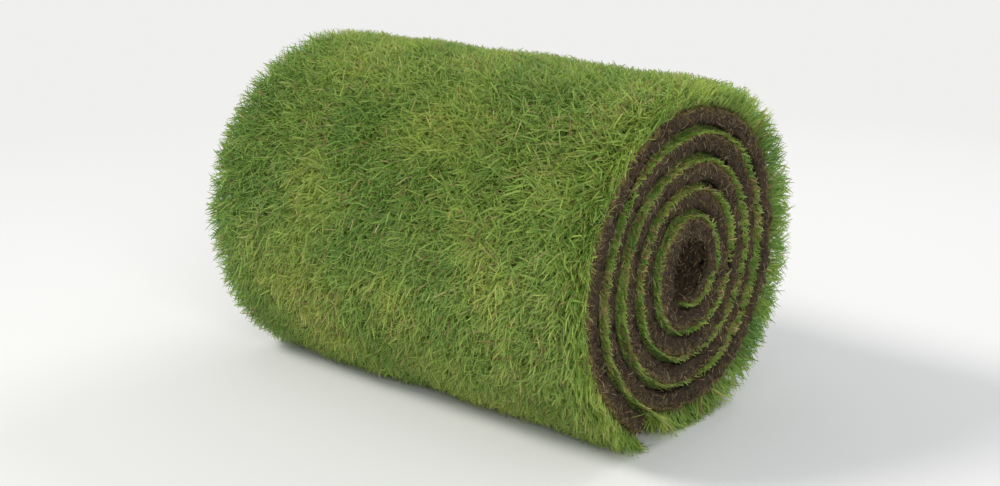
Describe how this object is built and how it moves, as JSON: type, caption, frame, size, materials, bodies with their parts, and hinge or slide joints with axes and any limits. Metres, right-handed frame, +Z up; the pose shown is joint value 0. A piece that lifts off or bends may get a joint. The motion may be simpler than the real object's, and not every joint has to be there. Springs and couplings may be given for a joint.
{
  "type": "roll of turf",
  "caption": "Closed roll of lawn turf wound grass side out, lying on its side, with its soil mat showing as a spiral on both ends.",
  "frame": {"origin": "on the ground, in the middle of the lying roll's footprint", "axes": "+X along the bore, +Z up; the loose end comes down over the -Y side and is tucked under"},
  "size_m": [0.4, 0.2916, 0.2807],
  "materials": {
    "grass": "living grass, mown short, matt with a faint gloss on the blades",
    "soil": "moist dark soil matted with fine roots, crumbly and fully matt"
  },
  "bodies": {
    "root": {"turf_roll": "grass"}
  },
  "joints": []
}
